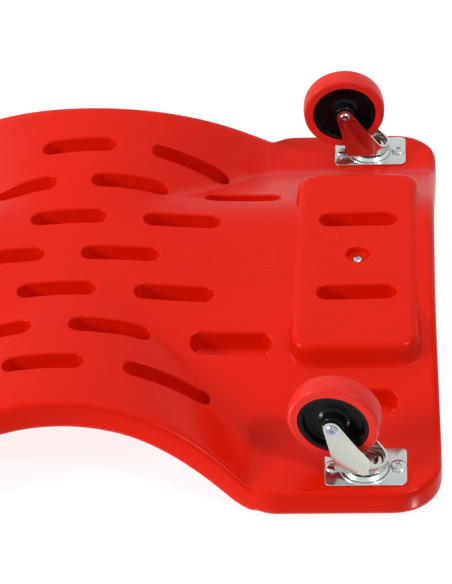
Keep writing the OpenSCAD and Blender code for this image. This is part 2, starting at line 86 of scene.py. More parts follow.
def new_object(name: str, data: ID) -> Object:
    """Put an object into the scene.

    Args:
        name: its name.
        data: its mesh, curve, lamp or camera.

    Returns:
        The object.
    """
    piece = bpy.data.objects.new(name, data)
    bpy.context.scene.collection.objects.link(piece)
    return piece


def new_mesh(name: str, operator: Callable[..., set[str]], **settings: object) -> Object:
    """Add one of the basic meshes that modelling starts from.

    Args:
        name: the new piece's name.
        operator: the operator that adds it.
        settings: the operator's own values.

    Returns:
        The new piece, which is selected alone.
    """
    bpy.ops.object.select_all(action="DESELECT")
    operator(**settings)
    piece = bpy.context.active_object
    piece.name = name
    return piece


@contextmanager
def editing(piece: Object) -> Iterator[None]:
    """Open a piece's mesh with everything selected, and close it again.

    Args:
        piece: the mesh object.
    """
    take(piece)
    bpy.ops.object.mode_set(mode="EDIT")
    bpy.ops.mesh.select_all(action="SELECT")
    yield
    bpy.ops.object.mode_set(mode="OBJECT")


def join_pieces(pieces: list[Object]) -> Object:
    """Join several pieces.

    Args:
        pieces: the pieces, of which the first takes in the others.

    Returns:
        The first piece.
    """
    take(pieces[0])
    for piece in pieces:
        piece.select_set(True)
    if len(pieces) > 1:
        bpy.ops.object.join()
    return pieces[0]


def apply_modifier(piece: Object, kind: str, **settings: object) -> None:
    """Give a piece one modifier and apply it.

    Args:
        piece: the mesh object.
        kind: Blender's name of the modifier's type.
        settings: the modifier's own values.
    """
    take(piece)
    modifier = piece.modifiers.new(kind.lower(), kind)
    for name, value in settings.items():
        setattr(modifier, name, value)
    bpy.ops.object.modifier_apply(modifier=modifier.name)


def cut(piece: Object, cutter: Object, solver: str) -> None:
    """Cut one piece out of another and remove it."""
    apply_modifier(piece, "BOOLEAN", operation="DIFFERENCE", solver=solver, object=cutter)
    bpy.data.objects.remove(cutter, do_unlink=True)


def settle(piece: Object) -> None:
    """Put a piece's place, turn and size into its mesh, so that its object sits at the origin."""
    take(piece)
    bpy.ops.object.transform_apply(location=True, rotation=True, scale=True)


def smooth(piece: Object, angle: float) -> None:
    """Shade a piece smooth where its faces meet at less than an angle, in degrees."""
    take(piece)
    bpy.ops.object.shade_smooth_by_angle(angle=math.radians(angle))


def tidy_mesh(piece: Object, gap: float = 0.002 * MM) -> None:
    """Merge a piece's doubled points and turn its faces outwards.

    Args:
        piece: the mesh object.
        gap: points nearer than this become one.
    """
    with editing(piece):
        bpy.ops.mesh.remove_doubles(threshold=gap)
        bpy.ops.mesh.normals_make_consistent(inside=False)


def skin_of(node: str, name: str) -> Object:
    """Copy a part of the frame as a closed mesh that can be shaped further.

    Args:
        node: the part's name in the frame.
        name: the new piece's name.

    Returns:
        The copy, with its loose triangles joined.
    """
    skin = new_object(name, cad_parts[node].data.copy())
    skin.data.materials.clear()
    tidy_mesh(skin)
    return skin


def points_of(piece: Object) -> np.ndarray:
    """Read a mesh's points.

    Args:
        piece: the mesh object.

    Returns:
        Rows of x, y, z.
    """
    flat = np.empty(len(piece.data.vertices) * 3)
    piece.data.vertices.foreach_get("co", flat)
    return flat.reshape(-1, 3)


def move_points(piece: Object, points: np.ndarray) -> None:
    """Write rows of x, y, z back to a mesh's points."""
    piece.data.vertices.foreach_set("co", points.ravel())
    piece.data.update()


def hand_in(piece: Object, body: str, slot: str, material: Material, *nodes: str) -> None:
    """Give a finished piece its body, its material and the parts that it stands for.

    Args:
        piece: the finished mesh object.
        body: the body that it moves with.
        slot: the record's material slot that its finish belongs to; not used.
        material: its material.
        nodes: the frame's parts that it replaces, if any.
    """
    piece.data.materials.clear()
    piece.data.materials.append(material)
    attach(piece, body)
    if nodes:
        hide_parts(*nodes)
    LOG.info("%s: %d points, on %s", piece.name, len(piece.data.vertices), body)


def dress_node(node: str, material: Material) -> None:
    """Give one of the frame's own parts its material.

    Args:
        node: the part's name.
        material: its material.
    """
    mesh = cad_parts[node].data
    mesh.materials.clear()
    mesh.materials.append(material)
    LOG.info("%s: the frame's own part, in %s", node, material.name)


# Finishes

class Sheet:
    """A node tree, with short calls for adding and joining nodes."""

    def __init__(self, tree: NodeTree) -> None:
        """Empty a tree, so that it holds only what is added here."""
        self.tree = tree
        tree.nodes.clear()

    def feed(self, socket: NodeSocket, value: object) -> None:
        """Join an input to an output, or give it a plain value.

        Args:
            socket: the input.
            value: the output, or the value.
        """
        if isinstance(value, NodeSocket):
            self.tree.links.new(value, socket)
        else:
            socket.default_value = value

    def add(self, kind: str, *first: object, **values: object) -> Node:
        """Add a node.

        Args:
            kind: its type, without the leading words that all shader nodes share.
            first: what its first inputs are fed, in their order, where their names are alike.
            values: the node's own settings, or what its inputs are fed by name, with
                underscores for spaces.

        Returns:
            The node.
        """
        node = self.tree.nodes.new("ShaderNode" + kind)
        for name, value in values.items():
            socket = node.inputs.get(name.replace("_", " "))
            if socket is None:
                setattr(node, name, value)
            else:
                self.feed(socket, value)
        for socket, value in zip(node.inputs, first):
            self.feed(socket, value)
        return node


def sheet_of(user: Material | World) -> Sheet:
    """Give a material or a world its own empty sheet."""
    user.use_nodes = True
    return Sheet(user.node_tree)


def rgba(colour: Colour, shade: float = 1.0) -> tuple[float, float, float, float]:
    """Lengthen a colour by its alpha, and make it lighter or darker by a factor."""
    return (*(min(1.0, part * shade) for part in colour), 1.0)


def grain_group() -> NodeTree:
    """Build the grain and patches that all finishes share.

    Returns:
        A node group that puts out a normal with a fine grain, and broad soft patches from 0 to 1.
    """
    tree = bpy.data.node_groups.new("grain_and_patches", "ShaderNodeTree")
    for name, way, kind in (
            ("Vector", "INPUT", "Vector"), ("Grain Size", "INPUT", "Float"),
            ("Grain Depth", "INPUT", "Float"), ("Patch Size", "INPUT", "Float"),
            ("Patches", "OUTPUT", "Float"), ("Normal", "OUTPUT", "Vector")):
        tree.interface.new_socket(name, in_out=way, socket_type="NodeSocket" + kind)
    sheet = Sheet(tree)
    given = tree.nodes.new("NodeGroupInput").outputs
    result = tree.nodes.new("NodeGroupOutput").inputs
    fine = sheet.add("Math", 1.0, given["Grain Size"], operation="DIVIDE")
    broad = sheet.add("Math", 1.0, given["Patch Size"], operation="DIVIDE")
    grain = sheet.add("TexNoise", Vector=given["Vector"], Scale=fine.outputs[0], Detail=2.0)
    patches = sheet.add("TexNoise", Vector=given["Vector"], Scale=broad.outputs[0], Detail=3.0,
                        Roughness=0.55)
    bump = sheet.add("Bump", Height=grain.outputs["Fac"], Distance=given["Grain Depth"])
    sheet.feed(result["Normal"], bump.outputs["Normal"])
    sheet.feed(result["Patches"], patches.outputs["Fac"])
    return tree


def highlit_worn_edges_group() -> NodeTree:
    """Build the edge mask for the deck's painted highlight and the plating's lighter edges.

    Returns:
        A node group that puts out a mask, 1 along sharp outer edges, broken up by a noise.
    """
    tree = bpy.data.node_groups.new("highlit_worn_edges", "ShaderNodeTree")
    tree.interface.new_socket("Vector", in_out="INPUT", socket_type="NodeSocketVector")
    tree.interface.new_socket("Mask", in_out="OUTPUT", socket_type="NodeSocketFloat")
    sheet = Sheet(tree)
    given = tree.nodes.new("NodeGroupInput").outputs
    result = tree.nodes.new("NodeGroupOutput").inputs
    shape = sheet.add("NewGeometry")
    edges = sheet.add("MapRange", Value=shape.outputs["Pointiness"], From_Min=0.53, From_Max=0.66)
    broken = sheet.add("TexNoise", Vector=given["Vector"], Scale=60.0, Detail=4.0)
    mask = sheet.add("Math", edges.outputs["Result"], broken.outputs["Fac"], operation="MULTIPLY")
    sheet.feed(result["Mask"], mask.outputs[0])
    return tree


@dataclass(frozen=True)
class Finish:
    """A surface: its colour, how it mottles, how it shines, and its grain."""

    name: str
    colour: Colour
    roughness: float
    mottle: float
    patch_size: float
    grain_size: float
    grain_depth: float
    metallic: float = 0.0
    roughness_change: float = 0.08
    # lighter colour along sharp edges: a painted highlight on the deck, lighter edges on the
    # plating
    highlit_worn_edge_colour: Colour | None = None
    specular: float = 0.5
    sheen: float = 0.0

    def place(self, sheet: Sheet) -> NodeSocket:
        """Give the coordinates that the pattern lies on."""
        return sheet.add("TexCoord").outputs["Object"]

    def build(self, groups: dict[str, NodeTree]) -> Material:
        """Make the material.

        Args:
            groups: the shared node groups by name.

        Returns:
            The material, with its node tree complete.
        """
        material = bpy.data.materials.new(self.name)
        sheet = sheet_of(material)
        where = self.place(sheet)
        grain = sheet.add("Group", node_tree=groups["grain"], Vector=where,
                          Grain_Size=self.grain_size, Grain_Depth=self.grain_depth,
                          Patch_Size=self.patch_size)
        patches = grain.outputs["Patches"]
        colour = sheet.add("Mix", data_type="RGBA", Factor=patches,
                           A=rgba(self.colour, 1 - self.mottle),
                           B=rgba(self.colour, 1 + self.mottle)).outputs["Result"]
        # mix in the lighter edge colour along sharp edges: a painted highlight on the deck's lips
        # and rims
        if self.highlit_worn_edge_colour is not None:
            highlit_worn_mask = sheet.add("Group", node_tree=groups["highlit_worn_mask"], Vector=where)
            colour = sheet.add("Mix", data_type="RGBA", Factor=highlit_worn_mask.outputs["Mask"], A=colour,
                               B=rgba(self.highlit_worn_edge_colour)).outputs["Result"]
        shine = sheet.add("MapRange", Value=patches, From_Min=0.3, From_Max=0.7,
                          To_Min=self.roughness - self.roughness_change,
                          To_Max=self.roughness + self.roughness_change)
        surface = sheet.add("BsdfPrincipled", Base_Color=colour, Roughness=shine.outputs["Result"],
                            Metallic=self.metallic, Normal=grain.outputs["Normal"],
                            Specular_IOR_Level=self.specular, Sheen_Weight=self.sheen)
        sheet.add("OutputMaterial", Surface=surface.outputs["BSDF"])
        return material


@dataclass(frozen=True)
class TurnedFinish(Finish):
    """A surface with fine rings round a wheel's axle, drawn from the wheel's own middle."""

    centre: Place = (0.0, 0.0, 0.0)
    turn: float = 0.0
    ring_share: float = 0.12

    def place(self, sheet: Sheet) -> NodeSocket:
        """Give the coordinates in the wheel's frame, drawn out along the rings.

        Args:
            sheet: the material's sheet.

        Returns:
            The socket that puts them out.
        """
        seat = sheet.add("Mapping", vector_type="TEXTURE", Location=self.centre,
                         Rotation=(0.0, 0.0, math.radians(self.turn)),
                         Vector=sheet.add("TexCoord").outputs["Object"])
        stretch = sheet.add("Mapping", Vector=seat.outputs["Vector"],
                            Scale=(self.ring_share, 1.0, self.ring_share))
        return stretch.outputs["Vector"]


# The deck's lighter edge colour is a painted highlight along its slot lips and rims.
DECK_RED = Finish("deck_red", (0.64, 0.009, 0.001), 0.26, mottle=0.03, patch_size=140 * MM,
                  roughness_change=0.04, grain_size=1.6 * MM, grain_depth=0.006 * MM,
                  highlit_worn_edge_colour=(0.90, 0.07, 0.045), specular=0.085)
VINYL = Finish("grained_vinyl", (0.022, 0.022, 0.024), 0.50, mottle=0.12, patch_size=50 * MM,
               grain_size=1.1 * MM, grain_depth=0.14 * MM, specular=0.3, sheen=0.08)
PLYWOOD = Finish("plain_board", (0.36, 0.25, 0.15), 0.65, mottle=0.2, patch_size=14 * MM,
                 grain_size=0.9 * MM, grain_depth=0.05 * MM)
PLATE_ZINC = Finish("bright_zinc", (0.59, 0.64, 0.64), 0.24, metallic=1.0, mottle=0.05,
                    patch_size=16 * MM, roughness_change=0.05, grain_size=0.5 * MM,
                    grain_depth=0.0006 * MM, highlit_worn_edge_colour=(0.86, 0.87, 0.86))
FORK_ZINC = Finish("dull_zinc", (0.62, 0.64, 0.57), 0.20, metallic=1.0, mottle=0.05,
                   patch_size=14 * MM, roughness_change=0.03, grain_size=0.5 * MM,
                   grain_depth=0.001 * MM, highlit_worn_edge_colour=(0.85, 0.86, 0.80))
BRIGHT_STEEL = Finish("bright_steel", (0.62, 0.63, 0.63), 0.22, metallic=1.0, mottle=0.05,
                      patch_size=5 * MM, grain_size=0.4 * MM, grain_depth=0.001 * MM)
BLUED_ZINC = Finish("blued_zinc", (0.40, 0.46, 0.60), 0.28, metallic=1.0, mottle=0.1,
                    patch_size=3 * MM, grain_size=0.4 * MM, grain_depth=0.001 * MM)
HUB_BLACK = Finish("hub_black", (0.005, 0.005, 0.006), 0.25, mottle=0.1, patch_size=20 * MM,
                   grain_size=0.8 * MM, grain_depth=0.004 * MM, specular=0.12)
TREAD_RED = TurnedFinish("tread", (0.68, 0.024, 0.016), 0.36, mottle=0.05, patch_size=9 * MM,
                         roughness_change=0.05, grain_size=0.9 * MM, grain_depth=0.012 * MM,
                         specular=0.16)


# The deck

@dataclass(frozen=True)
class DeckForm:
    """The deck's true curves: its plan, and the height of its underside."""

    length: float = 1016 * MM
    width: float = 480 * MM
    thickness: float = 25 * MM
    land_z: float = 88.6 * MM
    corner_radius: float = 39 * MM
    cutout_deep: float = 38 * MM
    cutout_length: float = 310 * MM
    end_land: float = 152 * MM
    cutout_shift: float = 15 * MM
    rim_drop: float = 65.7 * MM
    belly_drop: float = 47 * MM
    waist_sink: float = 9 * MM
    belly_half: float = 71 * MM
    land_inner: float = 182 * MM
    rim_lean: float = 0.22
    slope_hold: float = 50 * MM
    slope_fade: float = 105 * MM
    lean_start: float = 20 * MM
    lean_end: float = 110 * MM
    lean_less: float = 0.75
    land_soft: float = 2.8 * MM
    belly_soft: float = 30 * MM
    dip_soft: float = 3 * MM
    seat_x: float = 440 * MM
    seat_z: float = 40.2 * MM
    seat_half_length: float = 45.6 * MM
    seat_half_width: float = 109.2 * MM
    seat_corner: float = 9 * MM
    seat_round: float = 8.6 * MM
    seat_turn: float = 86.0
    seat_soft: float = 1.8 * MM
    end_inset: float = 2.7 * MM
    end_reach: float = 60 * MM
    rim_swell: float = 9.2 * MM
    swell_early: float = 9 * MM
    swell_start: float = 22 * MM
    swell_end: float = 90 * MM
    swell_less: float = 0.58
    swell_reach: float = 55 * MM

    @property
    def half_length(self) -> float:
        """Half of the deck's length."""
        return self.length / 2

    @property
    def dip_half(self) -> float:
        """Half of a dip's length along the rim."""
        return self.cutout_length / 2

    @property
    def dip_x(self) -> float:
        """Distance of a dip's middle from the deck's middle."""
        return self.half_length - self.end_land - self.dip_half

    @staticmethod
    def ease(share: np.ndarray) -> np.ndarray:
        """Smooth step from 0 to 1."""
        return (1 - np.cos(np.pi * np.clip(share, 0, 1))) / 2

    @staticmethod
    def soft_ramp(u: np.ndarray, soft: float) -> np.ndarray:
        """Zero below zero and rising above it, with a soft bend between."""
        return np.where(u <= -soft, 0.0, np.where(u >= soft, u, (u + soft) ** 2 / (4 * soft)))

    @staticmethod
    def soft_max(a: np.ndarray, b: np.ndarray, soft: float) -> np.ndarray:
        """The greater of two heights, with a soft join."""
        gap = np.abs(a - b)
        return np.maximum(a, b) + np.where(gap < soft, (soft - gap) ** 2 / (4 * soft), 0.0)

    def into_dip(self, x: np.ndarray) -> np.ndarray:
        """How far each x lies inside the nearer dip of the rim."""
        return self.dip_half - np.abs(np.abs(x) - self.dip_x)

    def half_width(self, x: np.ndarray) -> np.ndarray:
        """Give the deck's plan.

        Args:
            x: places along the deck.

        Returns:
            Half of the deck's width at each.
        """
        u = np.abs(np.abs(x) - self.dip_x - self.cutout_shift)
        deep = self.cutout_deep
        radius = (self.dip_half ** 2 + deep ** 2) / (2 * deep)
        arc = radius - deep - np.sqrt(radius ** 2 - np.minimum(u, self.dip_half) ** 2)
        rest = np.clip(self.corner_radius - self.half_length + np.abs(x), 0, self.corner_radius)
        corner = np.sqrt(self.corner_radius ** 2 - rest ** 2) - self.corner_radius
        return self.width / 2 + np.where(u < self.dip_half, arc, corner)

    def belly(self, x: np.ndarray, y: np.ndarray) -> np.ndarray:
        """Give the underside without the headrest's seat: a trough, lands and dipping rims.

        Args:
            x: places along the deck.
            y: places across it.

        Returns:
            Its heights.
        """
        inside = self.into_dip(x)
        radius = (self.dip_half ** 2 + self.rim_drop ** 2) / (2 * self.rim_drop)
        reach = self.dip_half - np.minimum(self.soft_ramp(inside, self.dip_soft), self.dip_half)
        dip = self.rim_drop - radius + np.sqrt(radius ** 2 - reach ** 2)
        slope = self.belly_drop / (self.land_inner - self.belly_half)
        slope = slope * (1 - self.ease((inside - self.slope_hold) / self.slope_fade))
        lean = self.rim_lean * self.ease(inside / self.lean_start) * (
            1 - self.lean_less * self.ease(inside / self.lean_end))
        trough = (self.belly_drop + self.waist_sink * self.ease(inside / self.dip_half)
                  - slope * self.soft_ramp(np.abs(y) - self.belly_half, self.belly_soft))
        rim = dip - lean * (self.half_width(x) - np.abs(y))
        return self.land_z - self.soft_max(trough, rim, self.land_soft)

    def seat(self, x: np.ndarray, y: np.ndarray) -> np.ndarray:
        """Give the block that forms the headrest's seat: flat, with a rounded edge.

        Args:
            x: places along the deck.
            y: places across it.

        Returns:
            Its heights.
        """
        across = np.abs(x - self.seat_x) - self.seat_half_length + self.seat_corner
        along = np.abs(y) - self.seat_half_width + self.seat_corner
        out = (np.hypot(np.maximum(across, 0), np.maximum(along, 0))
               + np.minimum(np.maximum(across, along), 0) - self.seat_corner)
        turn = math.radians(self.seat_turn)
        round_end = self.seat_round * math.sin(turn)
        rounded = self.seat_round - np.sqrt(
            self.seat_round ** 2 - np.clip(out, 0, round_end) ** 2)
        return self.seat_z + rounded + np.maximum(out - round_end, 0) * math.tan(turn)

    def under(self, x: np.ndarray, y: np.ndarray) -> np.ndarray:
        """Height of the underside at x, y."""
        return -self.soft_max(-self.belly(x, y), -self.seat(x, y), self.seat_soft)

    def wall(self, x: np.ndarray, y: np.ndarray) -> np.ndarray:
        """Give the height of the deck's wall, which grows along the rims of the cut-outs.

        Args:
            x: places along the deck.
            y: places across it.

        Returns:
            The distance from the underside to the top.
        """
        inside = self.into_dip(x) + self.swell_early
        swell = self.ease(inside / self.swell_start) * (
            1 - self.swell_less * self.ease((inside - self.swell_start) / self.swell_end))
        near = self.ease(1 - (self.half_width(x) - np.abs(y)) / self.swell_reach)
        return self.thickness + self.rim_swell * swell * near

    def end_shift(self, x: np.ndarray, y: np.ndarray) -> np.ndarray:
        """Draw the ends in, the more the deeper the trough is.

        Args:
            x: places along the deck.
            y: places across it.

        Returns:
            The move along x.
        """
        near = self.ease(1 - (self.half_length - np.abs(x)) / self.end_reach)
        depth = np.clip((self.land_z - self.belly(x, y)) / self.belly_drop, 0, 1)
        return -np.sign(x) * self.end_inset * near * depth


@dataclass(frozen=True)
class Hollow:
    """A moulded hollow with round corners, and the solid that forms it.

    Its wall leans in by the draft between a lip and a floor edge of the given radii. Its corners
    take up half the width unless a radius is given. Along and around are the steps of its long
    sides and of each corner, and the solid stands out of the skin by clear.
    """

    length: float
    width: float
    depth: float
    lip: float
    draft: float
    floor: float
    along: int
    around: int
    corner: float | None = None
    clear: float = 2.5 * MM
    lip_turns: tuple[float, ...] = (20, 37, 54, 71, 90)
    floor_turns: tuple[float, ...] = (0, 22, 45, 67, 90)
    floor_rings: tuple[float, ...] = (0.6, 0.8, 1.0)

    def outline(self) -> np.ndarray:
        """Lay points round the hollow.

        Returns:
            A row for each: x and y of the centre that it turns about, its turn and its radius.
        """
        corner = self.width / 2 if self.corner is None else self.corner
        reach, rise = self.length / 2 - corner, self.width / 2 - corner
        quarter = math.pi / 2
        points = []
        for side in (1, -1):
            turn = -side * quarter
            points += [(side * (2 * step / self.along - 1) * reach, -side * rise, turn, corner)
                       for step in range(self.along)]
            points += [(side * reach, -side * rise, turn + quarter * step / self.around, corner)
                       for step in range(self.around + (1 if rise > 0 else 0))]
            points += [(side * reach, side * rise, turn + quarter * (1 + step / self.around),
                        corner) for step in range(self.around)]
        return np.array(points)

    def profile(self) -> np.ndarray:
        """Lay rings from the middle of the mouth over the lip and wall to that of the floor.

        Returns:
            A row for each: its offset outwards and its depth.
        """
        half = self.width / 2
        lip_turns, floor_turns = np.radians(self.lip_turns), np.radians(self.floor_turns)
        rows = [(-half, -self.clear), (-0.5 * half, -self.clear),
                (self.lip * (1 - math.sin(lip_turns[0])), -self.clear)]
        rows += [(self.lip * (1 - math.sin(a)), self.lip * (1 - math.cos(a))) for a in lip_turns]
        rows += [(-self.draft - self.floor * (1 - math.cos(a)),
                  self.depth - self.floor * (1 - math.sin(a))) for a in floor_turns]
        rows += [(-share * half, self.depth) for share in self.floor_rings]
        return np.array(rows)

    def build(self) -> Object:
        """Model the solid's surface, its rings one above another.

        Returns:
            A tube whose points are at their ring's number and place in the ring; its two ends
            close on themselves when it is placed.
        """
        solid = new_mesh("cutter", bpy.ops.mesh.primitive_circle_add,
                         vertices=len(self.outline()), fill_type="NOTHING")
        with editing(solid):
            for _ in self.profile()[1:]:
                bpy.ops.mesh.extrude_region_move(TRANSFORM_OT_translate={"value": (0, 0, 1)})
        return solid

    def place(self, points: np.ndarray, x: float, y: float, form: DeckForm,
              sunk_in: Side) -> np.ndarray:
        """Work out where the solid's points lie at one place of the deck.

        Args:
            points: the points as build() left them.
            x: the hollow's middle.
            y: the hollow's middle.
            form: the deck's curves.
            sunk_in: the side of the deck that it is sunk in.

        Returns:
            Rows of x, y, z, following the deck's skin.
        """
        outline = self.outline()
        count = len(outline)
        level = np.rint(points[:, 2]).astype(int)
        number = np.rint(np.arctan2(points[:, 1], points[:, 0]) / (2 * math.pi) * count)
        along, across, turn, radius = outline[number.astype(int) % count].T
        offset, depth = self.profile()[level].T
        spread, pull = np.maximum(radius + offset, 0), np.minimum(radius + offset, 0)
        placed = np.empty_like(points)
        placed[:, 0] = (x + np.sign(along) * np.minimum(np.abs(along), outline[:, 0].max() + pull)
                        + spread * np.cos(turn))
        placed[:, 1] = (y + np.sign(across) * np.maximum(np.abs(across) + pull, 0)
                        + spread * np.sin(turn))
        placed[:, 2] = form.under(placed[:, 0], placed[:, 1]) + depth
        if sunk_in is Side.TOP:
            placed[:, 2] += form.thickness - 2 * depth
        return placed


COARSE, FINE, FINEST = 8 * MM, 2.2 * MM, 1.1 * MM


@dataclass(frozen=True)
class Deck:
    """The moulded deck: a smooth double-walled shell with slots, a screw cup and tool trays."""

    form: DeckForm = DeckForm()
    under_radius: float = 6 * MM
    top_radius: float = 8 * MM
    arc_steps: int = 6
    end_steps: int = 6
    end_share: float = 0.96
    merge_gap: float = 0.01 * MM
    skin_gap: float = 0.004 * MM
    along_zones: Zones = (
        (40 * MM, COARSE), (52 * MM, FINE), (350 * MM, 0.8 * COARSE), (362 * MM, FINE),
        (382 * MM, COARSE), (397 * MM, FINEST), (484 * MM, COARSE), (497 * MM, FINEST),
        (500 * MM, FINE))
    across_zones: Zones = ((104 * MM, COARSE), (123 * MM, FINEST), (178 * MM, COARSE),
                           (192 * MM, FINE), (232 * MM, COARSE))
    slot: Hollow = Hollow(66.4 * MM, 18 * MM, 17 * MM, lip=2.0 * MM, draft=1.4 * MM,
                          floor=3 * MM, along=8, around=7)
    slot_pitch: float = 98.5 * MM
    row_pitch: float = 49 * MM
    even_start: float = 337 * MM
    even_count: int = 4
    odd_count: int = 3
    least_share: float = 1 / 3
    cup: Hollow = Hollow(20.4 * MM, 20.4 * MM, 6.2 * MM, lip=0.9 * MM, draft=0.8 * MM,
                         floor=1.5 * MM, along=1, around=10)
    cup_x: float = 440.3 * MM
    vent: Hollow = Hollow(2.0 * MM, 2.0 * MM, 6.2 * MM, lip=0.2 * MM, draft=0.1 * MM,
                          floor=0.2 * MM, along=1, around=3)
    vent_x: float = 313 * MM
    tray: Hollow = Hollow(84 * MM, 36 * MM, 13 * MM, lip=1.5 * MM, draft=1.0 * MM,
                          floor=3.0 * MM, along=10, around=6, corner=10 * MM)
    tray_y: float = 207 * MM
    circle_radius: float = 10.9 * MM
    circle_bead: float = 0.45 * MM
    circles: tuple[tuple[float, float], ...] = ((360.5 * MM, 4 * MM), (413 * MM, -21 * MM),
                                                (414 * MM, 22 * MM))

    @staticmethod
    def lines(zones: Zones) -> np.ndarray:
        """Lay lines from zero outwards, each zone at its own spacing.

        Args:
            zones: each zone's end and the spacing in it.

        Returns:
            The lines' distances from the middle.
        """
        parts, begin = [np.zeros(1)], 0.0
        for end, spacing in zones:
            count = max(1, round((end - begin) / spacing))
            parts.append(np.linspace(begin, end, count + 1)[1:])
            begin = end
        return np.concatenate(parts)

    def stations(self) -> np.ndarray:
        """Lay places along the deck, closest together round the seat and at the ends.

        Returns:
            Their x, from the foot to the head.
        """
        turns = math.pi / 2 * np.arange(1, self.end_steps + 1) / self.end_steps
        half = np.append(self.lines(self.along_zones),
                         self.form.half_length - self.top_radius * (1 - np.sin(turns)))
        return np.append(-half[:0:-1], half)

    def columns(self) -> np.ndarray:
        """Lay places across the deck, closest together round the seat and the lands.

        Returns:
            Their distances, as shares of the half width of the deck's flat part.
        """
        half = self.lines(self.across_zones)
        half = half / half[-1]
        return np.append(-half[:0:-1], half)

    def build_shell(self) -> Object:
        """Model the closed shell: a grid, extruded once, its points set on the true curves.

        Returns:
            The shell, without its hollows.
        """
        stations, columns, form = self.stations(), self.columns(), self.form
        arc = self.arc_steps
        rows, across = len(stations), len(columns) + 2 * arc
        shell = new_mesh("deck_skin", bpy.ops.mesh.primitive_grid_add,
                         x_subdivisions=rows - 1, y_subdivisions=across - 1, size=2)
        with editing(shell):
            bpy.ops.mesh.extrude_region_move(TRANSFORM_OT_translate={"value": (0, 0, 1)})
        points = points_of(shell)
        x = stations[np.rint((points[:, 0] + 1) / 2 * (rows - 1)).astype(int)]
        column = np.rint((points[:, 1] + 1) / 2 * (across - 1)).astype(int)
        is_top = points[:, 2] > 0.5
        to_end = form.half_length - np.abs(x)
        radius = np.where(is_top, self.top_radius, self.under_radius)
        near = np.clip(radius - to_end, 0, radius)
        lift = np.minimum(radius - np.sqrt(radius ** 2 - near ** 2), self.end_share * radius)
        bend = radius - lift
        edge = form.half_width(x) - bend
        past = np.maximum(arc - column, column - (across - 1 - arc))
        turn = np.clip(past / arc, 0, 1) * math.pi / 2
        side = np.where(column < across / 2, -1.0, 1.0)
        share = columns[np.clip(column - arc, 0, len(columns) - 1)]
        flat_y = np.where(past > 0, side, share) * edge
        skin = form.under(x, flat_y)
        rise = lift + np.where(past > 0, bend * (1 - np.cos(turn)), 0.0)
        points[:, 0] = x + form.end_shift(x, flat_y)
        points[:, 1] = flat_y + np.where(past > 0, side * bend * np.sin(turn), 0.0)
        points[:, 2] = np.where(is_top, skin + form.wall(x, flat_y) - rise, skin + rise)
        move_points(shell, points)
        tidy_mesh(shell, self.merge_gap)
        return shell

    def slot_places(self) -> list[tuple[float, float]]:
        """List the slots, without those that would be too shallow.

        Returns:
            Their middles.
        """
        even = [self.even_start - n * self.slot_pitch for n in range(self.even_count)]
        odd = [x - self.slot_pitch / 2 for x in even[:self.odd_count]]
        even_rows, odd_rows = (-2, 0, 2), (-3, -1, 1, 3)
        places = [(x, row) for x in even for row in even_rows if row or x < even[0]]
        places += [(x, row) for x in (*odd, self.form.seat_x) for row in odd_rows]
        places = [(side * x, row * self.row_pitch) for x, row in places for side in (-1, 1)]
        places += [(0.0, row * self.row_pitch) for row in odd_rows]
        least = self.slot.depth * self.least_share
        return [place for place in places if self.slot_depth_at(*place) > least]

    def slot_depth_at(self, x: float, y: float) -> float:
        """Work out a slot's depth: less where the skin bends down towards its corners.

        Args:
            x: middle of the slot along the deck.
            y: middle of the slot across the deck.

        Returns:
            The depth, measured upwards.
        """
        step = 1 * MM
        u = np.array((-1, 1, -1, 1, 0)) * self.slot.length / 2
        v = np.array((-1, -1, 1, 1, 0)) * self.slot.width / 2
        skin = self.form.under(x + u, y + v)
        ahead = self.form.under(np.array((x + step, x - step, x, x)),
                                np.array((y, y, y + step, y - step)))
        bend = (skin - skin[4] - u * (ahead[0] - ahead[1]) / (2 * step)
                - v * (ahead[2] - ahead[3]) / (2 * step))
        return float(self.slot.depth + np.minimum(bend, 0).min())

    def build_cutters(self) -> Object:
        """Model what forms the slots, the screw cup, the vent and the trays.

        Returns:
            All of it, joined as one piece.
        """
        solids = []
        for hollow, sunk_in, places in (
                (self.slot, Side.UNDER, self.slot_places()),
                (self.cup, Side.UNDER, [(self.cup_x, 0.0)]),
                (self.vent, Side.UNDER, [(self.vent_x, 0.0)]),
                (self.tray, Side.TOP, [(0.0, self.tray_y), (0.0, -self.tray_y)])):
            pattern = hollow.build()
            shape = pattern.data
            bpy.data.objects.remove(pattern, do_unlink=True)
            for x, y in places:
                solid = new_object("cutter", shape.copy())
                move_points(solid, hollow.place(points_of(solid), x, y, self.form, sunk_in))
                tidy_mesh(solid)
                solids.append(solid)
        return join_pieces(solids)

    def build_skin(self, material: Material) -> None:
        """Model the whole deck, which stands for the frame's deck.

        Args:
            material: the moulded plastic.
        """
        shell = self.build_shell()
        uncut = new_object("uncut", shell.data.copy())
        smooth(uncut, 80)
        cut(shell, self.build_cutters(), "MANIFOLD")
        smooth(shell, 40)
        apply_modifier(shell, "WEIGHTED_NORMAL", mode="FACE_AREA", weight=60, keep_sharp=True)
        self.keep_shading(shell, uncut)
        hand_in(shell, ROOT, "deck", material, "deck")

    def keep_shading(self, shell: Object, uncut: Object) -> None:
        """Shade the skin round the hollows as it was before they were cut.

        Args:
            shell: the deck with its hollows.
            uncut: the deck before, which is removed.
        """
        skin = shell.vertex_groups.new(name="skin")
        near = [number for number, point in enumerate(shell.data.vertices)
                if (uncut.closest_point_on_mesh(point.co)[1] - point.co).length < self.skin_gap]
        skin.add(near, 1.0, "REPLACE")
        apply_modifier(shell, "DATA_TRANSFER", object=uncut, use_loop_data=True,
                       data_types_loops={"CUSTOM_NORMAL"}, loop_mapping="POLYINTERP_NEAREST",
                       vertex_group=skin.name)
        shell.vertex_groups.clear()
        bpy.data.objects.remove(uncut, do_unlink=True)

